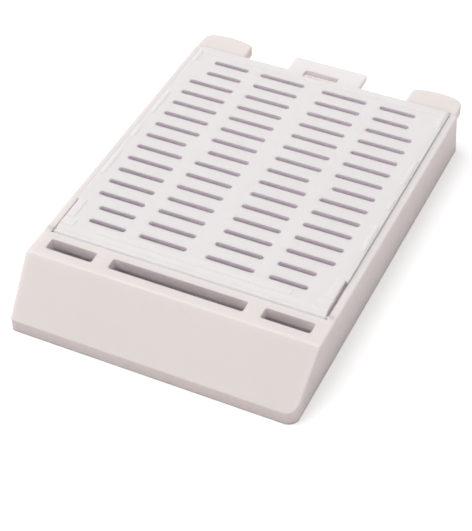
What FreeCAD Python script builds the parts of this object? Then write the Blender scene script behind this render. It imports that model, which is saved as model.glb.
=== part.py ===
import FreeCAD, Part
import math
import os
import Sketcher

# Tissue cassette: a shallow moulded base with a sloping writing face, and a slotted lid hinged behind it.
# Millimetres, +Z up. The origin is under the middle of the base, on the surface that it stands on.
# Inside each body Y is measured from the front foot, so the body's Placement carries the origin's offset.

doc = FreeCAD.newDocument("TissueCassette")

sizes = [
    # base
    ("width", 28.5, "width over the rims"),
    ("length", 41.6, "front foot to the rear of the ears"),
    ("rimHeight", 5.35, "top of the rims and of the ledge"),
    ("footHeight", 1.3, "upright band under the writing face"),
    ("writingDepth", 4.8, "run of the writing face, front to back"),
    ("sideDraft", 0.2, "how far each side leans in towards the bottom"),
    ("rearLean", 1.45, "how far the rear wall's foot stands behind its top"),
    ("earReach", 2.65, "ears behind the top of the rear wall"),
    ("frontCornerRadius", 1.05, "upright front corner on the right"),
    ("leftTaper", 0.72, "how far the left side runs in beside the writing face"),
    ("taperBlend", 4.0, "rounding where that run begins"),
    ("leftCornerRadius", 0.4, "upright front corner on the left"),
    ("rearCornerRadius", 0.3, "upright rear corners"),
    ("ridgeRadius", 0.4, "edge between writing face and ledge"),
    ("outerEdgeRadius", 0.2, "outer edge round the writing face and along the rims"),
    ("ledgeEdgeRadius", 0.26, "rear edge of the ledge"),
    ("rimWidth", 0.75, "rim beside the lid"),
    ("shelfWidth", 0.6, "shelf under the lid's side edges"),
    ("floorThickness", 0.75, "slotted floor"),
    ("frontPlate", 1.1, "writing plate and ledge"),
    ("frontWall", 0.95, "wall between front hollow and compartment"),
    ("troughLip", 0.3, "wall between trough and compartment at the axis"),
    ("rearWall", 1.0, "top of the rear wall"),
    ("troughFloor", 0.5, "material under and before the bead's trough"),
    # slots in the ledge
    ("ledgeSlotStart", 1.0, "writing face's edge to the ledge slots"),
    ("ledgeSlotWidth", 1.28, "ledge slots, front to back"),
    ("ledgeSlotMargin", 1.4, "ledge slots to the sides"),
    ("outerLedgeSlot", 4.65, "length of the two outer ledge slots"),
    ("ledgeBridge", 1.63, "bridges between the ledge slots"),
    ("ledgeSlotRadius", 0.22, "corners of the ledge slots"),
    # hinge
    ("hingeSetback", 8.38, "hinge axis from the front foot"),
    ("hingeDrop", 0.3, "hinge axis below the rims"),
    ("beadRadius", 0.3, "lid's front bead"),
    ("beadClearance", 0.06, "bead to its trough"),
    ("pinRadius", 0.16, "hinge pins"),
    ("pinClearance", 0.04, "pin to its socket, radially"),
    ("pinReach", 0.35, "pin inside the rim"),
    ("pinEndClearance", 0.1, "pin's end to the socket's end"),
    # lid
    ("lidThickness", 0.6, "slotted plate"),
    ("lidProud", 0.2, "lid above the rims"),
    ("lidGap", 0.04, "lid to rims and ears"),
    ("lidSetback", 0.06, "lid's rear edge before the top of the rear wall"),
    ("seatGap", 0.05, "lid to its shelf"),
    ("hingeGap", 0.3, "lid to rims beside the hinge"),
    ("hingeGapLength", 4.37, "length of that wider gap behind the axis"),
    ("leadStart", 0.08, "strip behind the axis that is level with the bead"),
    ("leadLength", 0.34, "slope from that strip up to the plate, front to back"),
    ("lidEdgeRadius", 0.12, "upper edges of lid and tab"),
    ("lidCornerRadius", 0.3, "lid's rear corners"),
    # slot grid of lid and floor
    ("slotWidth", 0.52, "slots, front to back"),
    ("slotPitch", 1.874, "row to row"),
    ("slotCorner", 0.17, "cut-off corners of the lid's slots"),
    ("centreWeb", 1.92, "web between the middle columns"),
    ("columnWeb", 1.385, "web between a middle and an outer column"),
    ("gridMargin", 1.67, "outer slots to the lid's side"),
    ("gridShift", 0.16, "grille to the left of the middle"),
    ("gridFrontMargin", 1.65, "room before the first row, from the hinge axis"),
    ("gridRearMargin", 1.6, "room behind the last row, to the lid's rear edge"),
    ("endTrim", 1.0, "outer slots shorter in the two rows at each end"),
    ("middleTrim", 0.47, "slots shorter at the column webs in the middle row"),
    # raised pads
    ("padHeight", 0.08, "pads above the lid"),
    ("padSlope", 50, "lean of the pads' edges, in degrees"),
    ("padWidth", 0.65, "side pads"),
    ("centrePadLength", 1.65, "side pad beside the middle row"),
    ("sidePadLength", 3.8, "side pads before and behind it"),
    ("sidePadOffset", 3.1, "middle row to those pads"),
    ("hingePadWidth", 0.87, "side pads near the hinge"),
    ("hingePadLength", 2.6, "side pads near the hinge"),
    ("hingePadStart", 1.82, "hinge axis to those pads"),
    ("cornerPadWidth", 1.37, "pads in the front corners"),
    ("frontPadStart", 0.7, "hinge axis to front bar and corner pads"),
    ("frontPadLength", 0.82, "front bar and corner pads, front to back"),
    ("frontBarMargin", 3.6, "front bar's ends to the lid's sides"),
    ("rearPadLength", 1.0, "raised strip along the rear edge"),
    ("rearPadReturn", 1.8, "its returns along the sides"),
    # ribs under the lid
    ("ribDepth", 0.5, "locating rib under the lid"),
    ("ribThickness", 0.6, "locating rib at the sides"),
    ("rearRibThickness", 0.4, "locating rib at the rear"),
    ("ribClearance", 0.2, "locating rib to the compartment's walls"),
    ("ribSetback", 1.2, "rib's front end behind the axis"),
    # tab and latch
    ("tabWidth", 7.8, "tab at the rear"),
    ("tabReach", 2.28, "tab behind the lid's edge"),
    ("tabCornerRadius", 0.25, "tab corners"),
    ("tabSlotWidth", 3.6, "slot in the tab, side to side"),
    ("tabSlotLength", 1.15, "slot in the tab, front to back"),
    ("tabSlotSetback", 0.51, "slot's rear edge behind the lid's edge"),
    ("tabSlotShift", 0.25, "slot to the left of the middle"),
    ("tabSlotRadius", 0.2, "corners of the tab's slot"),
    ("latchClearance", 0.2, "latch to its slot"),
    ("latchRise", 0.22, "latch above the lid's underside"),
    ("latchSlope", 0.08, "rise of the latch's lead-in"),
    ("latchRoot", 0.6, "latch below the lid's underside"),
    # ears
    ("earWidth", 5.53, "side of the base to the ears' inner sides"),
    ("earInset", 0.2, "ears' outer sides inside those of the base"),
    ("earHeight", 1.05, "ears, top to underside"),
    ("earDrop", 0.1, "ears below the lid's top"),
    ("earBow", 0.5, "bow of the ears' rear edge"),
    ("earInnerRadius", 0.5, "ear's inner rear corner"),
    ("earOuterRadius", 1.2, "ear's outer rear corner"),
    ("earEdgeRadius", 0.2, "ear's upper edge"),
]

dims = doc.addObject("Spreadsheet::Sheet", "dims")
for row, (alias, size, note) in enumerate(sizes, start=1):
    dims.set(f"A{row}", note)
    dims.set(f"B{row}", str(size))
    dims.setAlias(f"B{row}", alias)
doc.recompute()

# Places worked out from the driving sizes. All are expressions, so the document follows the sheet.
half_width = "(dims.width / 2)"
rim_inner = f"({half_width} - dims.rimWidth)"
inner_half = f"({rim_inner} - dims.shelfWidth)"
hinge_y = "dims.hingeSetback"
hinge_z = "(dims.rimHeight - dims.hingeDrop)"
trough_radius = "(dims.beadRadius + dims.beadClearance)"
rear_top = "(dims.length - dims.earReach)"
rear_foot = f"({rear_top} + dims.rearLean)"
compartment_rear = f"({rear_top} - dims.rearWall)"
trough_front = f"({hinge_y} - {trough_radius})"
trough_rear = f"({hinge_y} + {trough_radius})"
compartment_front = f"({trough_rear} + dims.troughLip)"
lid_top = "(dims.rimHeight + dims.lidProud)"
lid_bottom = f"({lid_top} - dims.lidThickness)"
seat_z = f"({lid_bottom} - dims.seatGap)"
lid_rear = f"({rear_top} - dims.lidSetback)"
ear_front = f"({lid_rear} + dims.lidGap)"
lid_half = f"({rim_inner} - dims.lidGap)"
hinge_half = f"({rim_inner} - dims.hingeGap)"
grid_y = f"(({hinge_y} + dims.gridFrontMargin + {lid_rear} - dims.gridRearMargin) / 2)"
rows_each_way = f"floor(({lid_rear} - dims.gridRearMargin - {grid_y}) / dims.slotPitch)"
slot_length = f"(({lid_half} - dims.gridMargin - dims.centreWeb / 2 - dims.columnWeb) / 2)"


def value(expression):
    return float(dims.evalExpression(expression))


def plane(body, role):
    return [feature for feature in body.Origin.OriginFeatures if feature.Role == role][0]


def new_body(name):
    body = doc.addObject("PartDesign::Body", name)
    body.Label = name
    body.setExpression("Placement.Base.y", "-dims.length / 2")
    return body


def new_sketch(body, name, role, offset=None):
    sketch = body.newObject("Sketcher::SketchObject", name)
    sketch.AttachmentSupport = [(plane(body, role), "")]
    sketch.MapMode = "FlatFace"
    if offset:
        sketch.setExpression("AttachmentOffset.Base.z", offset)
    return sketch


def bind(sketch, kind, references, expression):
    """Adds a dimension to the sketch and ties it to the sheet."""
    index = sketch.addConstraint(Sketcher.Constraint(kind, *references, value(expression)))
    sketch.setExpression(f"Constraints[{index}]", expression)


def place(sketch, geometry, end, x, y):
    bind(sketch, "DistanceX", (-1, 1, geometry, end), x)
    bind(sketch, "DistanceY", (-1, 1, geometry, end), y)


def draw_outline(sketch, corners):
    """Closed outline of straight lines; each corner is a pair of expressions."""
    points = [FreeCAD.Vector(value(x), value(y), 0) for x, y in corners]
    lines = []
    for start, end in zip(points, points[1:] + points[:1]):
        lines.append(sketch.addGeometry(Part.LineSegment(start, end), False))
    for this, following in zip(lines, lines[1:] + lines[:1]):
        sketch.addConstraint(Sketcher.Constraint("Coincident", this, 2, following, 1))
    for line, (x, y) in zip(lines, corners):
        place(sketch, line, 1, x, y)


def draw_box(sketch, left, right, front, rear):
    draw_outline(sketch, [(left, front), (right, front), (right, rear), (left, rear)])


def draw_circle(sketch, x, y, radius):
    centre = FreeCAD.Vector(value(x), value(y), 0)
    circle = sketch.addGeometry(Part.Circle(centre, FreeCAD.Vector(0, 0, 1), value(radius)), False)
    place(sketch, circle, 3, x, y)
    bind(sketch, "Radius", (circle,), radius)


def draw_cut_box(sketch, left, right, front, rear, cut):
    """Rectangle with its four corners cut off at 45 degrees."""
    draw_outline(sketch, [
        (f"{left} + {cut}", front),
        (f"{right} - {cut}", front),
        (right, f"{front} + {cut}"),
        (right, f"{rear} - {cut}"),
        (f"{right} - {cut}", rear),
        (f"{left} + {cut}", rear),
        (left, f"{rear} - {cut}"),
        (left, f"{front} + {cut}"),
    ])


def draw_rounded_box(sketch, left, right, front, rear, radius):
    """Rectangle with four equal round corners."""
    x0, x1, y0, y1, r = (value(size) for size in (left, right, front, rear, radius))
    up = FreeCAD.Vector(0, 0, 1)
    straight = [
        ((x0 + r, y0), (x1 - r, y0)),
        ((x1, y0 + r), (x1, y1 - r)),
        ((x1 - r, y1), (x0 + r, y1)),
        ((x0, y1 - r), (x0, y0 + r)),
    ]
    lines = [
        sketch.addGeometry(Part.LineSegment(FreeCAD.Vector(*a, 0), FreeCAD.Vector(*b, 0)), False)
        for a, b in straight
    ]
    quarter = math.pi / 2
    arcs = []
    for turn, (x, y) in enumerate([(x1 - r, y0 + r), (x1 - r, y1 - r), (x0 + r, y1 - r), (x0 + r, y0 + r)]):
        circle = Part.Circle(FreeCAD.Vector(x, y, 0), up, r)
        arcs.append(sketch.addGeometry(Part.ArcOfCircle(circle, (turn - 1) * quarter, turn * quarter), False))
    for side, arc in enumerate(arcs):
        sketch.addConstraint(Sketcher.Constraint("Tangent", lines[side], 2, arc, 1))
        sketch.addConstraint(Sketcher.Constraint("Tangent", arc, 2, lines[(side + 1) % 4], 1))
        sketch.addConstraint(Sketcher.Constraint("Vertical" if side % 2 else "Horizontal", lines[side]))
    for arc in arcs[1:]:
        sketch.addConstraint(Sketcher.Constraint("Equal", arcs[0], arc))
    bind(sketch, "Radius", (arcs[0],), radius)
    bind(sketch, "DistanceY", (-1, 1, lines[0], 1), front)
    bind(sketch, "DistanceX", (-1, 1, lines[1], 1), right)
    bind(sketch, "DistanceY", (-1, 1, lines[2], 1), rear)
    bind(sketch, "DistanceX", (-1, 1, lines[3], 1), left)


def draw_bowed_box(sketch, left, right, front, rear, bow):
    """Rectangle whose rear side is an arc that rises by the bow over its ends."""
    left_x, right_x, front_y, rear_y = (value(size) for size in (left, right, front, rear))
    middle = FreeCAD.Vector((left_x + right_x) / 2, rear_y + value(bow), 0)
    corners = [(left, front), (right, front), (right, rear), (left, rear)]
    points = [FreeCAD.Vector(x, y, 0) for x, y in (
        (left_x, front_y), (right_x, front_y), (right_x, rear_y), (left_x, rear_y))]
    sides = [
        sketch.addGeometry(Part.LineSegment(points[0], points[1]), False),
        sketch.addGeometry(Part.LineSegment(points[1], points[2]), False),
        sketch.addGeometry(Part.Arc(points[2], middle, points[3]), False),
        sketch.addGeometry(Part.LineSegment(points[3], points[0]), False),
    ]
    for this, following in zip(sides, sides[1:] + sides[:1]):
        sketch.addConstraint(Sketcher.Constraint("Coincident", this, 2, following, 1))
    for side, (x, y) in zip(sides, corners):
        place(sketch, side, 1, x, y)
    half_chord = f"(({right} - {left}) / 2)"
    bind(sketch, "Radius", (sides[2],), f"({half_chord} ^ 2 + {bow} ^ 2) / (2 * {bow})")


def extrude(body, kind, sketch, length, symmetric=False, reverse=False):
    feature = body.newObject(f"PartDesign::{kind}", f"{sketch.Name}_{kind}")
    feature.Profile = sketch
    feature.Type = "Length"
    feature.setExpression("Length", length)
    feature.SideType = "Symmetric" if symmetric else "One side"
    feature.Reversed = reverse
    doc.recompute()
    return feature


def pad(body, sketch, length, **options):
    return extrude(body, "Pad", sketch, length, **options)


def pocket(body, sketch, length, **options):
    return extrude(body, "Pocket", sketch, length, **options)


def fillet(body, name, radius, wanted):
    """Rounds the edges of the body's tip whose middle point passes the test."""
    base = body.Tip
    edges = []
    for number, edge in enumerate(base.Shape.Edges, start=1):
        middle = edge.valueAt((edge.FirstParameter + edge.LastParameter) / 2)
        if wanted(edge, middle):
            edges.append(f"Edge{number}")
    feature = body.newObject("PartDesign::Fillet", name)
    feature.Base = (base, edges)
    feature.setExpression("Radius", radius)
    doc.recompute()
    return feature


def repeat(body, feature, axis_sketch, spacing, count):
    pattern = body.newObject("PartDesign::LinearPattern", f"{feature.Name}_rows")
    pattern.Originals = [feature]
    pattern.Direction = (axis_sketch, ["V_Axis"])
    pattern.Mode = "Spacing"
    pattern.setExpression("Offset", spacing)
    pattern.setExpression("Occurrences", count)
    body.Tip = pattern
    doc.recompute()
    return pattern


def mirror(body, feature):
    mirrored = body.newObject("PartDesign::Mirrored", f"{feature.Name}_mirror")
    mirrored.Originals = [feature]
    mirrored.MirrorPlane = (plane(body, "YZ_Plane"), [""])
    body.Tip = mirrored
    doc.recompute()
    return mirrored


tolerance = 0.001


def near(number, expression):
    return abs(number - value(expression)) < tolerance


def upright(edge):
    box = edge.BoundBox
    return box.ZLength > box.XLength and box.ZLength > box.YLength


def row_slots(trim_outer="0", trim_web="0"):
    """Left and right ends of a row's four slots."""
    outer_start = f"dims.centreWeb / 2 + {slot_length} + dims.columnWeb"
    slots = []
    for inner, outer in [
        ("dims.centreWeb / 2", f"dims.centreWeb / 2 + {slot_length} - {trim_web}"),
        (f"{outer_start} + {trim_web}", f"{outer_start} + {slot_length} - {trim_outer}"),
    ]:
        slots.append((f"(-dims.gridShift - ({outer}))", f"(-dims.gridShift - ({inner}))"))
        slots.append((f"(-dims.gridShift + {inner})", f"(-dims.gridShift + {outer})"))
    return slots


def draw_slot_row(sketch, y, cut_corners, **trims):
    front = f"({y} - dims.slotWidth / 2)"
    rear = f"({y} + dims.slotWidth / 2)"
    for left, right in row_slots(**trims):
        if cut_corners:
            draw_cut_box(sketch, left, right, front, rear, "dims.slotCorner")
        else:
            draw_box(sketch, left, right, front, rear)


# ---------------------------------------------------------------------------------------------------- base
base = new_body("cassette_base")

# Block with drafted sides, its upright corners rounded before the slopes are cut.
# The left side runs in towards the front foot.
block = new_sketch(base, "block", "XZ_Plane")
draw_outline(block, [
    (f"-{half_width} + dims.sideDraft", "0"),
    (f"{half_width} - dims.sideDraft", "0"),
    (half_width, "dims.rimHeight"),
    (f"-{half_width}", "dims.rimHeight"),
])
pad(base, block, rear_foot, reverse=True)
left_taper = new_sketch(base, "left_taper", "XY_Plane")
draw_outline(left_taper, [
    (f"-{half_width}", "0"),
    (f"-{half_width} + dims.leftTaper", "0"),
    (f"-{half_width}", "dims.writingDepth"),
])
pocket(base, left_taper, "dims.rimHeight", reverse=True)
taper_end = value("dims.writingDepth")
fillet(base, "taper_blend", "dims.taperBlend",
       lambda edge, middle: upright(edge) and middle.x < 0 and middle.y < taper_end and not near(middle.y, "0"))
fillet(base, "right_corner", "dims.frontCornerRadius",
       lambda edge, middle: upright(edge) and middle.x > 0 and near(middle.y, "0"))
fillet(base, "left_corner", "dims.leftCornerRadius",
       lambda edge, middle: upright(edge) and middle.x < 0 and near(middle.y, "0"))

rear_slope = new_sketch(base, "rear_slope", "YZ_Plane")
draw_outline(rear_slope, [(rear_top, "dims.rimHeight"), (rear_foot, "0"), (rear_foot, "dims.rimHeight")])
pocket(base, rear_slope, "dims.width", symmetric=True)
fillet(base, "rear_corners", "dims.rearCornerRadius",
       lambda edge, middle: upright(edge) and middle.y > value(rear_top))

writing_face = new_sketch(base, "writing_face", "YZ_Plane")
draw_outline(writing_face, [
    ("0", "dims.footHeight"),
    ("dims.writingDepth", "dims.rimHeight"),
    ("0", "dims.rimHeight"),
])
pocket(base, writing_face, "dims.width", symmetric=True)
fillet(base, "ridge", "dims.ridgeRadius",
       lambda edge, middle: near(middle.y, "dims.writingDepth") and near(middle.z, "dims.rimHeight"))
# The rounding runs on from the writing face's front edge round the whole top.
fillet(base, "outer_edges", "dims.outerEdgeRadius",
       lambda edge, middle: near(middle.y, "0") and near(middle.z, "dims.footHeight"))

# Compartment, from the floor up, and the lid's seat with the trough for its bead.
compartment = new_sketch(base, "compartment", "XY_Plane", "dims.floorThickness")
draw_box(compartment, f"-{inner_half}", inner_half, compartment_front, compartment_rear)
pocket(base, compartment, "dims.rimHeight", reverse=True)

seat = new_sketch(base, "seat", "YZ_Plane")
draw_box(seat, hinge_y, rear_foot, seat_z, "dims.rimHeight")
pocket(base, seat, f"2 * {rim_inner}", symmetric=True)

trough_mouth = new_sketch(base, "trough_mouth", "YZ_Plane")
draw_box(trough_mouth, trough_front, trough_rear, hinge_z, "dims.rimHeight")
pocket(base, trough_mouth, f"2 * {rim_inner}", symmetric=True)
trough = new_sketch(base, "trough", "YZ_Plane")
draw_circle(trough, hinge_y, hinge_z, trough_radius)
pocket(base, trough, f"2 * {rim_inner}", symmetric=True)
fillet(base, "ledge_edge", "dims.ledgeEdgeRadius",
       lambda edge, middle: near(middle.y, trough_front) and near(middle.z, "dims.rimHeight"))

sockets = new_sketch(base, "sockets", "YZ_Plane")
draw_circle(sockets, hinge_y, hinge_z, "dims.pinRadius + dims.pinClearance")
pocket(base, sockets, f"2 * ({rim_inner} + dims.pinReach + dims.pinEndClearance)", symmetric=True)

# Hollow under the writing plate and the ledge, open at the bottom.
slope = "((dims.rimHeight - dims.footHeight) / dims.writingDepth)"
plate_drop = f"(dims.frontPlate * sqrt(1 + {slope} ^ 2))"
ledge_bottom = "(dims.rimHeight - dims.frontPlate)"
hollow_top_front = f"(({ledge_bottom} + {plate_drop} - dims.footHeight) / {slope})"
hollow_front = "dims.frontPlate"
hollow_front_top = f"(dims.footHeight - {plate_drop} + {slope} * {hollow_front})"
trough_wall = f"({trough_front} - dims.troughFloor)"
trough_bottom = f"({hinge_z} - {trough_radius} - dims.troughFloor)"
hollow_rear = f"({compartment_front} - dims.frontWall)"
hollow = new_sketch(base, "hollow", "YZ_Plane")
draw_outline(hollow, [
    (hollow_front, "0"),
    (hollow_front, hollow_front_top),
    (hollow_top_front, ledge_bottom),
    (trough_wall, ledge_bottom),
    (trough_wall, trough_bottom),
    (hollow_rear, trough_bottom),
    (hollow_rear, "0"),
])
pocket(base, hollow, f"2 * {inner_half}", symmetric=True)

# Three slots through the ledge.
ledge_slots = new_sketch(base, "ledge_slots", "XY_Plane", "dims.rimHeight")
slot_front = "(dims.writingDepth + dims.ledgeSlotStart)"
slot_rear = f"({slot_front} + dims.ledgeSlotWidth)"
outer_end = f"({half_width} - dims.ledgeSlotMargin)"
outer_start = f"({outer_end} - dims.outerLedgeSlot)"
centre_end = f"({outer_start} - dims.ledgeBridge)"
for left, right in [
    (f"-{outer_end}", f"-{outer_start}"),
    (f"-{centre_end}", centre_end),
    (outer_start, outer_end),
]:
    draw_rounded_box(ledge_slots, left, right, slot_front, slot_rear, "dims.ledgeSlotRadius")
pocket(base, ledge_slots, "dims.frontPlate")

# Floor grille: the same grid as the lid's, with plain ends.
floor_row = new_sketch(base, "floor_row", "XY_Plane")
draw_slot_row(floor_row, f"({grid_y} - {rows_each_way} * dims.slotPitch)", cut_corners=False)
floor_slots = pocket(base, floor_row, "dims.floorThickness", reverse=True)
repeat(base, floor_slots, floor_row, "dims.slotPitch", f"2 * {rows_each_way} + 1")

# Latch that stands in the tab's slot.
latch_front = f"({lid_rear} + dims.tabSlotSetback - dims.tabSlotLength + dims.latchClearance)"
latch_rear = f"({lid_rear} + dims.tabSlotSetback - dims.latchClearance)"
latch_top = f"({lid_bottom} + dims.latchRise)"
latch = new_sketch(base, "latch", "YZ_Plane", "-dims.tabSlotShift")
draw_outline(latch, [
    (latch_front, f"{lid_bottom} - dims.latchRoot"),
    (rear_top, f"{lid_bottom} - dims.latchRoot"),
    (latch_rear, lid_bottom),
    (latch_rear, f"{latch_top} - dims.latchSlope"),
    (f"({latch_front} + {latch_rear}) / 2", latch_top),
    (latch_front, f"{latch_top} - dims.latchSlope"),
])
pad(base, latch, "dims.tabSlotWidth - 2 * dims.latchClearance", symmetric=True)

# Ears at the rear corners, hung on the rear wall.
ear_top = f"({lid_top} - dims.earDrop)"
ear_inner = f"({half_width} - dims.earWidth)"
ear_outer = f"({half_width} - dims.earInset)"
ear_corner = "(dims.length - dims.earBow)"
ear = new_sketch(base, "ear", "XY_Plane", f"{ear_top} - dims.earHeight")
draw_bowed_box(ear, ear_inner, ear_outer, ear_front, ear_corner, "dims.earBow")
ear_pad = pad(base, ear, "dims.earHeight")
mirror(base, ear_pad)
fillet(base, "ear_inner_corners", "dims.earInnerRadius",
       lambda edge, middle: near(middle.y, ear_corner) and near(abs(middle.x), ear_inner))
fillet(base, "ear_outer_corners", "dims.earOuterRadius",
       lambda edge, middle: near(middle.y, ear_corner) and near(abs(middle.x), ear_outer))
fillet(base, "ear_edges", "dims.earEdgeRadius",
       lambda edge, middle: near(middle.z, ear_top) and middle.y > value(ear_corner))

# ----------------------------------------------------------------------------------------------------- lid
lid = new_body("cassette_lid")

# Slotted plate with its tab; it is narrower beside the hinge and slopes down to the bead.
gap_end = f"({hinge_y} + dims.hingeGapLength)"
tab_half = "(dims.tabWidth / 2)"
tab_end = f"({lid_rear} + dims.tabReach)"
plate = new_sketch(lid, "plate", "XY_Plane", lid_bottom)
right_side = [
    (hinge_half, hinge_y),
    (hinge_half, gap_end),
    (lid_half, gap_end),
    (lid_half, lid_rear),
    (tab_half, lid_rear),
    (tab_half, tab_end),
]
left_side = [(f"-{x}", y) for x, y in reversed(right_side)]
draw_outline(plate, right_side + left_side)
pad(lid, plate, "dims.lidThickness")
bead_top = f"({hinge_z} + dims.beadRadius)"
lead = new_sketch(lid, "lead", "YZ_Plane")
draw_outline(lead, [
    (hinge_y, bead_top),
    (f"{hinge_y} + dims.leadStart", bead_top),
    (f"{hinge_y} + dims.leadStart + dims.leadLength", lid_top),
    (hinge_y, lid_top),
])
pocket(lid, lead, f"2 * {hinge_half}", symmetric=True)
fillet(lid, "rear_corners", "dims.lidCornerRadius",
       lambda edge, middle: upright(edge) and near(abs(middle.x), lid_half) and near(middle.y, lid_rear))
fillet(lid, "tab_corners", "dims.tabCornerRadius",
       lambda edge, middle: upright(edge) and near(middle.y, tab_end))
fillet(lid, "upper_edges", "dims.lidEdgeRadius",
       lambda edge, middle: near(middle.z, lid_top) and (near(abs(middle.x), lid_half) or near(middle.y, tab_end)))

# Bead along the front and the two pins that turn in the rims.
bead = new_sketch(lid, "bead", "YZ_Plane")
draw_circle(bead, hinge_y, hinge_z, "dims.beadRadius")
pad(lid, bead, f"2 * {hinge_half}", symmetric=True)
pins = new_sketch(lid, "pins", "YZ_Plane")
draw_circle(pins, hinge_y, hinge_z, "dims.pinRadius")
pad(lid, pins, f"2 * ({rim_inner} + dims.pinReach)", symmetric=True)

# Locating rib under the sides and the rear edge.
rib_side = f"({inner_half} - dims.ribClearance)"
rib_rear = f"({compartment_rear} - dims.ribClearance)"
rib_front = f"({hinge_y} + dims.ribSetback)"
rib = new_sketch(lid, "rib", "XY_Plane", lid_bottom)
draw_outline(rib, [
    (f"-{rib_side}", rib_front),
    (f"-({rib_side} - dims.ribThickness)", rib_front),
    (f"-({rib_side} - dims.ribThickness)", f"{rib_rear} - dims.rearRibThickness"),
    (f"{rib_side} - dims.ribThickness", f"{rib_rear} - dims.rearRibThickness"),
    (f"{rib_side} - dims.ribThickness", rib_front),
    (rib_side, rib_front),
    (rib_side, rib_rear),
    (f"-{rib_side}", rib_rear),
])
pad(lid, rib, "dims.ribDepth", reverse=True)

# Raised pads round the grille: along the sides, beside the hinge, along the front and round the rear.
pads = new_sketch(lid, "pads", "XY_Plane", lid_top)
side_pads = [
    (f"{grid_y} - dims.centrePadLength / 2", f"{grid_y} + dims.centrePadLength / 2"),
    (f"{grid_y} + dims.sidePadOffset", f"{grid_y} + dims.sidePadOffset + dims.sidePadLength"),
    (f"{grid_y} - dims.sidePadOffset - dims.sidePadLength", f"{grid_y} - dims.sidePadOffset"),
]
hinge_pad = f"({hinge_y} + dims.hingePadStart)"
front_pad = f"({hinge_y} + dims.frontPadStart)"
bar_half = f"({hinge_half} - dims.frontBarMargin)"
pad_side = f"({lid_half} - dims.lidEdgeRadius)"
pad_inner = f"({lid_half} - dims.padWidth)"
pad_boxes = [(pad_inner, pad_side, front, rear) for front, rear in side_pads]
pad_boxes.append((f"{hinge_half} - dims.hingePadWidth", hinge_half, hinge_pad, f"{hinge_pad} + dims.hingePadLength"))
pad_boxes.append((f"{hinge_half} - dims.cornerPadWidth", hinge_half, front_pad, f"{front_pad} + dims.frontPadLength"))
for left, right, front, rear in pad_boxes:
    draw_box(pads, left, right, front, rear)
    draw_box(pads, f"-({right})", f"-({left})", front, rear)
draw_box(pads, f"-{bar_half}", bar_half, front_pad, f"{front_pad} + dims.frontPadLength")
strip_rear = f"({lid_rear} - dims.lidEdgeRadius)"
strip_front = f"({lid_rear} - dims.rearPadLength)"
return_front = f"({strip_front} - dims.rearPadReturn)"
draw_outline(pads, [
    (f"-{pad_side}", return_front),
    (f"-{pad_inner}", return_front),
    (f"-{pad_inner}", strip_front),
    (pad_inner, strip_front),
    (pad_inner, return_front),
    (pad_side, return_front),
    (pad_side, strip_rear),
    (f"-{pad_side}", strip_rear),
])
pads_raised = pad(lid, pads, "dims.padHeight")
pads_raised.setExpression("TaperAngle", "-dims.padSlope")
doc.recompute()

# Grille: the middle row, then the full and the shortened rows before and behind it.
cut_depth = "(dims.lidThickness + dims.ribDepth)"


def slot_rows(name, first, count, step, **trims):
    sketch = new_sketch(lid, name, "XY_Plane", lid_top)
    draw_slot_row(sketch, f"({grid_y} + ({first}) * dims.slotPitch * {step})", cut_corners=True, **trims)
    rows = pocket(lid, sketch, cut_depth)
    if count:
        repeat(lid, rows, sketch, "dims.slotPitch", count).Reversed = step < 0


slot_rows("middle_row", "0", None, 1, trim_web="dims.middleTrim")
for side, step in (("rear", 1), ("front", -1)):
    slot_rows(f"{side}_rows", "1", f"{rows_each_way} - 2", step)
    slot_rows(f"{side}_end_rows", f"{rows_each_way} - 1", "2", step, trim_outer="dims.endTrim")

tab_slot = new_sketch(lid, "tab_slot", "XY_Plane", f"{lid_top} + dims.padHeight")
tab_slot_rear = f"({lid_rear} + dims.tabSlotSetback)"
draw_rounded_box(
    tab_slot,
    "-dims.tabSlotShift - dims.tabSlotWidth / 2",
    "-dims.tabSlotShift + dims.tabSlotWidth / 2",
    f"{tab_slot_rear} - dims.tabSlotLength",
    tab_slot_rear,
    "dims.tabSlotRadius",
)
pocket(lid, tab_slot, "dims.lidThickness + dims.padHeight")

# ----------------------------------------------------------------------------------------- check and write
doc.recompute()
for feature in doc.Objects:
    if "Invalid" in feature.State or "Error" in feature.State:
        raise RuntimeError(f"{feature.Name} failed: {feature.State}")
    if feature.TypeId == "PartDesign::Pocket" and feature.Shape.Volume >= feature.BaseFeature.Shape.Volume:
        raise RuntimeError(f"{feature.Name} cuts nothing")
os.makedirs("parts", exist_ok=True)
for body in (base, lid):
    if body.Shape.isNull() or not body.Shape.isValid():
        raise RuntimeError(f"{body.Label} has no valid shape")
    body.Shape.exportStep(f"parts/{body.Label}.step")
    print(body.Label, len(body.Shape.Solids), "solid", round(body.Shape.Volume, 2), "mm3", body.Shape.BoundBox)
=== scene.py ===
import math

import bpy
from mathutils import Matrix, Vector


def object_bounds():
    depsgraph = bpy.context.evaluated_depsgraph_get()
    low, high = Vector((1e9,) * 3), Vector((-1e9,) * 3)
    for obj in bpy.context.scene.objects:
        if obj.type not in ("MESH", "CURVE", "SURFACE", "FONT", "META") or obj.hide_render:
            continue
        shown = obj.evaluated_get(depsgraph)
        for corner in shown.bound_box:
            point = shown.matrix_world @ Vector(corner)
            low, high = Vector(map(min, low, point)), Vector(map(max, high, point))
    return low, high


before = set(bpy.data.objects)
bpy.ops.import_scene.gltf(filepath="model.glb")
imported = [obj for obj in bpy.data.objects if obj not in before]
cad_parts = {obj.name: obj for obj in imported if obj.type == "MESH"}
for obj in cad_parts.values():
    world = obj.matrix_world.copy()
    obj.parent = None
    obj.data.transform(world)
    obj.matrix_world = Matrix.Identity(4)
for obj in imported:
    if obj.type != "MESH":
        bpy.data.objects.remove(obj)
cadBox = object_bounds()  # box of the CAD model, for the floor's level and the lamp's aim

mm = 0.001
print("frame loaded:", len(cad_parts), "mouldings")


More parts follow.
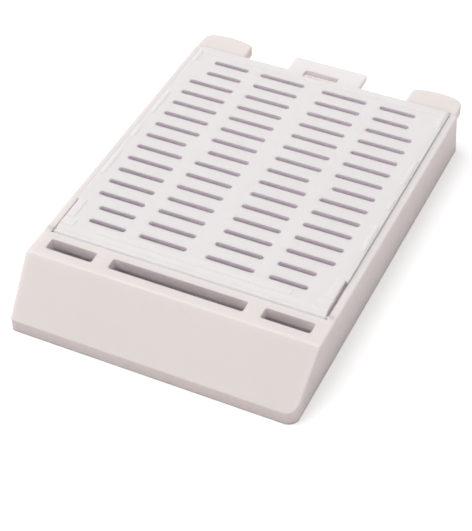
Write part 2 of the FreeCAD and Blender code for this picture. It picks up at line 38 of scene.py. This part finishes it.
# a small kit for building materials node by node
def newMaterial(name):
    material = bpy.data.materials.new(name)
    material.use_nodes = True
    material.node_tree.nodes.clear()
    return material, material.node_tree


def addNode(tree, kind, **inputs):
    node = tree.nodes.new(kind)
    for socket, setting in inputs.items():
        node.inputs[socket].default_value = setting
    return node


def noiseOn(tree, coordinates, scale, detail, roughness):
    noise = addNode(tree, "ShaderNodeTexNoise", Scale=scale, Detail=detail, Roughness=roughness)
    tree.links.new(coordinates, noise.inputs["Vector"])
    return noise.outputs["Fac"]


# one tone where the factor is at the span's low end, another where it is at the high end
def rampOf(tree, factor, span, colorLow, colorHigh):
    ramp = tree.nodes.new("ShaderNodeValToRGB")
    for stop, position, color in zip(ramp.color_ramp.elements, span, (colorLow, colorHigh)):
        stop.position = position
        stop.color = (*color, 1)
    tree.links.new(factor, ramp.inputs["Fac"])
    return ramp.outputs["Color"]


# carries the factor from the span to the numbers between low and high, and holds it there
def mapRange(tree, factor, span, low, high):
    node = tree.nodes.new("ShaderNodeMapRange")
    node.inputs["From Min"].default_value, node.inputs["From Max"].default_value = span
    node.inputs["To Min"].default_value = low
    node.inputs["To Max"].default_value = high
    tree.links.new(factor, node.inputs["Value"])
    return node.outputs["Result"]


def mixColors(tree, factor, first, second):
    mix = tree.nodes.new("ShaderNodeMix")
    mix.data_type = "RGBA"
    tree.links.new(factor, mix.inputs["Factor"])
    tree.links.new(first, mix.inputs["A"])
    if isinstance(second, tuple):
        mix.inputs["B"].default_value = (*second, 1)
    else:
        tree.links.new(second, mix.inputs["B"])
    return mix.outputs["Result"]


def combine(tree, operation, first, second):
    node = tree.nodes.new("ShaderNodeMath")
    node.operation = operation
    for socket, source in zip(node.inputs, (first, second)):
        if isinstance(source, (int, float)):
            socket.default_value = source
        else:
            tree.links.new(source, socket)
    return node.outputs[0]


def bumpFrom(tree, height, strength, distance):
    bump = addNode(tree, "ShaderNodeBump", Strength=strength, Distance=distance)
    tree.links.new(height, bump.inputs["Height"])
    return bump.outputs["Normal"]


# how open a spot is to what lies within reach: 1 out in the open, near 0 down in a gap
def openness(tree, reach, ownMouldingOnly):
    node = addNode(tree, "ShaderNodeAmbientOcclusion", Distance=reach)
    node.samples = acetalHabit["opennessSamples"]
    node.only_local = ownMouldingOnly
    return node.outputs["AO"]


# ---- moulded acetal: what both pieces share
acetalHabit = {
    "driftSpan": (0.3, 0.7),  # where the slow noise turns from the deep tone to the plain one
    "veilSpan": (0.25, 0.75),
    "cloudSpan": (0.4, 0.7),  # how much of the fine noise shows as clouding
    "paintedShadeWallSpan": (0.3, 0.7),
    "uprightSpan": (0.35, 0.7),  # height of the normal, from an upright face to one that lies flat
    "slotSpan": (0.45, 0.75),  # openness, from down in a slot to its mouth
    "gapSpan": (0.35, 0.7),
    # painted light for the hair gaps between the two mouldings
    "gapPaintedLightColor": (1.0, 0.94, 0.94),
    "gapReach": 0.3 * mm,
    "opennessSamples": 8,
    "sheenSpan": (0.25, 0.75),
}


# each piece gives its own tones, grain and sheen in its look
def mouldedAcetal(name, look):
    material, tree = newMaterial(name)
    shader = addNode(tree, "ShaderNodeBsdfPrincipled", IOR=look["ior"])
    output = addNode(tree, "ShaderNodeOutputMaterial")
    tree.links.new(shader.outputs["BSDF"], output.inputs["Surface"])
    where = tree.nodes.new("ShaderNodeTexCoord")
    place = where.outputs["Object"]

    # slow drift of tone through the plastic, then faint fine clouding
    drift = noiseOn(tree, place, look["driftScale"], 2, 0.5)
    color = rampOf(tree, drift, acetalHabit["driftSpan"], look["colorDeep"], look["color"])
    cloud = noiseOn(tree, place, look["cloudScale"], 4, 0.6)
    veil = rampOf(tree, cloud, acetalHabit["veilSpan"], look["cloudColor"], look["color"])
    clouding = mapRange(tree, cloud, acetalHabit["cloudSpan"], 0, look["cloudAmount"])
    color = mixColors(tree, clouding, color, veil)

    # painted shade: upright faces are painted a little darker and rosier than those that lie flat, as the sides
    # stand in shade
    facing = tree.nodes.new("ShaderNodeSeparateXYZ")
    tree.links.new(where.outputs["Normal"], facing.inputs["Vector"])
    level = combine(tree, "ABSOLUTE", facing.outputs["Z"], 0)
    upright = mapRange(tree, level, acetalHabit["uprightSpan"], 1, 0)
    paintedShadeOnWalls = rampOf(tree, cloud, acetalHabit["paintedShadeWallSpan"], look["paintedShadeWallDeep"], look["paintedShadeWallColor"])
    color = mixColors(tree, upright, color, paintedShadeOnWalls)

    # painted light: down in the slots the tone is painted lighter, standing in for the light that the thin plastic
    # lets through
    slotPaintedLightMask = mapRange(tree, openness(tree, look["slotReach"], True), acetalHabit["slotSpan"], 1, 0)
    color = mixColors(tree, slotPaintedLightMask, color, look["slotPaintedLightColor"])

    # painted light: the hair gaps between the two mouldings are painted lighter too, so that they don't go black
    gapPaintedLightMask = mapRange(tree, openness(tree, acetalHabit["gapReach"], False), acetalHabit["gapSpan"], 1, 0)
    color = mixColors(tree, gapPaintedLightMask, color, acetalHabit["gapPaintedLightColor"])
    tree.links.new(color, shader.inputs["Base Color"])

    sheen = noiseOn(tree, place, look["sheenScale"], 3, 0.55)
    roughness = mapRange(tree, sheen, acetalHabit["sheenSpan"], *look["roughness"])
    tree.links.new(roughness, shader.inputs["Roughness"])

    grain = noiseOn(tree, place, look["grainScale"], 3, 0.6)
    normal = bumpFrom(tree, grain, look["grainStrength"], look["grainDepth"])
    tree.links.new(normal, shader.inputs["Normal"])

    # light sinks in a little way and comes out again, as in any thin white plastic
    shader.inputs["Subsurface Weight"].default_value = look["glow"]
    shader.inputs["Subsurface Radius"].default_value = look["glowReach"]
    shader.inputs["Subsurface Scale"].default_value = look["glowScale"]
    return material


def dress(node, material):
    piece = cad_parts[node]
    piece.data.materials.clear()
    piece.data.materials.append(material)


# ---- base: warm white, the tray with its writing face
baseLook = {
    "color": (0.805, 0.75, 0.73),
    "colorDeep": (0.785, 0.73, 0.71),
    "cloudColor": (0.745, 0.69, 0.67),
    # painted shade: the darker, rosier tone of the upright walls
    "paintedShadeWallColor": (0.745, 0.66, 0.65),
    "paintedShadeWallDeep": (0.70, 0.61, 0.60),
    # painted light down in the slots
    "slotPaintedLightColor": (0.99, 0.88, 0.90),
    "slotReach": 5.0 * mm,  # deep enough for the hollow under the ledge
    "cloudAmount": 0.8,
    "cloudScale": 2600.0,
    "driftScale": 60.0,
    "sheenScale": 350.0,
    "roughness": (0.42, 0.55),
    "grainScale": 9000.0,
    "grainStrength": 0.25,
    "grainDepth": 0.01 * mm,
    "ior": 1.48,
    "glow": 0.8,
    "glowReach": (1.0, 0.92, 0.92),
    "glowScale": 1.0 * mm,
}

dress("cassette_base", mouldedAcetal("baseAcetal", baseLook))
print("base finished")

# ---- lid: cooler and a little glossier than the base
lidLook = {
    "color": (0.835, 0.79, 0.79),
    "colorDeep": (0.82, 0.775, 0.775),
    "cloudColor": (0.80, 0.755, 0.755),
    # painted shade: the darker, rosier tone of the upright walls
    "paintedShadeWallColor": (0.82, 0.755, 0.79),
    "paintedShadeWallDeep": (0.80, 0.725, 0.76),
    # painted light down in the slots, tinted
    "slotPaintedLightColor": (0.94, 0.80, 0.91),
    "slotReach": 1.0 * mm,
    "cloudAmount": 0.4,
    "cloudScale": 1000.0,
    "driftScale": 50.0,
    "sheenScale": 300.0,
    "roughness": (0.36, 0.48),
    "grainScale": 9000.0,
    "grainStrength": 0.18,
    "grainDepth": 0.008 * mm,
    "ior": 1.48,
    "glow": 0.8,
    "glowReach": (1.0, 0.92, 0.95),
    "glowScale": 1.0 * mm,
}

dress("cassette_lid", mouldedAcetal("lidAcetal", lidLook))
print("lid finished")


# one for what is seen straight, mirrored or through something, none for light that falls on the plastic
def seenDirectly(tree):
    path = tree.nodes.new("ShaderNodeLightPath")
    seen = combine(tree, "MAXIMUM", path.outputs["Is Camera Ray"], path.outputs["Is Glossy Ray"])
    return combine(tree, "MAXIMUM", seen, path.outputs["Is Transmission Ray"])


# ---- floor
floorLook = {
    "size": 3.0,
    "drop": 0.02 * mm,  # keeps the floor just clear of the cassette's foot
    "color": (0.95, 0.95, 0.95),
    "roughness": 0.8,
    "lift": 0.36,  # extra white where the floor is seen directly, so the shadow stays
}


def paleFloorMaterial():
    material, tree = newMaterial("paleFloor")
    output = addNode(tree, "ShaderNodeOutputMaterial")
    matt = addNode(tree, "ShaderNodeBsdfDiffuse", Color=(*floorLook["color"], 1), Roughness=floorLook["roughness"])
    lift = addNode(tree, "ShaderNodeEmission", Color=(1, 1, 1, 1))
    both = tree.nodes.new("ShaderNodeAddShader")
    strength = combine(tree, "MULTIPLY", seenDirectly(tree), floorLook["lift"])
    tree.links.new(strength, lift.inputs["Strength"])
    tree.links.new(matt.outputs["BSDF"], both.inputs[0])
    tree.links.new(lift.outputs["Emission"], both.inputs[1])
    tree.links.new(both.outputs["Shader"], output.inputs["Surface"])
    return material


def makeFloor():
    half = floorLook["size"] / 2
    level = cadBox[0].z - floorLook["drop"]
    corners = [(-half, -half, level), (half, -half, level), (half, half, level), (-half, half, level)]
    mesh = bpy.data.meshes.new("floor")
    mesh.from_pydata(corners, [], [(0, 1, 2, 3)])
    mesh.materials.append(paleFloorMaterial())
    floor = bpy.data.objects.new("floor", mesh)
    bpy.context.scene.collection.objects.link(floor)


makeFloor()
print("floor laid")

# ---- light: one broad lamp from the upper left in a pale room
lightPlan = {
    "roomOnPlastic": 0.46,
    "roomSeen": 1,  # plain white
    "key": {"energy": 3.82, "size": 0.60, "place": (-0.30, -0.02, 0.66)},
}


def addLamp(name, plan, target):
    lamp = bpy.data.lights.new(name, "AREA")
    lamp.energy = plan["energy"]
    lamp.size = plan["size"]
    holder = bpy.data.objects.new(name, lamp)
    bpy.context.scene.collection.objects.link(holder)
    holder.location = plan["place"]
    holder.rotation_euler = (target - holder.location).to_track_quat("-Z", "Y").to_euler()


def lightStudio():
    addLamp("keyLamp", lightPlan["key"], (cadBox[0] + cadBox[1]) / 2)
    room = bpy.data.worlds.new("softRoom")
    room.use_nodes = True
    tree = room.node_tree
    glow = tree.nodes["Background"]
    glow.inputs["Color"].default_value = (1, 1, 1, 1)
    strength = mapRange(tree, seenDirectly(tree), (0, 1), lightPlan["roomOnPlastic"], lightPlan["roomSeen"])
    tree.links.new(strength, glow.inputs["Strength"])
    bpy.context.scene.world = room


lightStudio()
print("studio lit")

# ---- camera
cameraPlan = {
    "azimuth": 25.81,  # degrees to the right of straight ahead
    "elevation": 43.41,
    "roll": -0.88,
    "distance": 143.78 * mm,
    "aim": (2.54 * mm, -7.81 * mm, 3.0 * mm),
    "lens": 121.78,
    "sensor": 36.0,
    "nearest": 0.005,  # metres
    "farthest": 20,
}


def placeCamera():
    turn, rise, lean = (math.radians(cameraPlan[angle]) for angle in ("azimuth", "elevation", "roll"))
    back = Vector((math.sin(turn) * math.cos(rise), -math.cos(turn) * math.cos(rise), math.sin(rise)))
    level = Vector((math.cos(turn), math.sin(turn), 0))
    upright = back.cross(level)
    right = level * math.cos(lean) + upright * math.sin(lean)
    up = upright * math.cos(lean) - level * math.sin(lean)
    place = Vector(cameraPlan["aim"]) + back * cameraPlan["distance"]

    lens = bpy.data.cameras.new("studioCamera")
    lens.sensor_fit = "HORIZONTAL"
    lens.sensor_width = cameraPlan["sensor"]
    lens.lens = cameraPlan["lens"]
    lens.clip_start = cameraPlan["nearest"]
    lens.clip_end = cameraPlan["farthest"]
    camera = bpy.data.objects.new("studioCamera", lens)
    bpy.context.scene.collection.objects.link(camera)
    camera.matrix_world = Matrix(
        (
            (right.x, up.x, back.x, place.x),
            (right.y, up.y, back.y, place.y),
            (right.z, up.z, back.z, place.z),
            (0, 0, 0, 1),
        )
    )
    bpy.context.scene.camera = camera


placeCamera()
bpy.context.scene.view_settings.view_transform = "Standard"
print("camera placed")
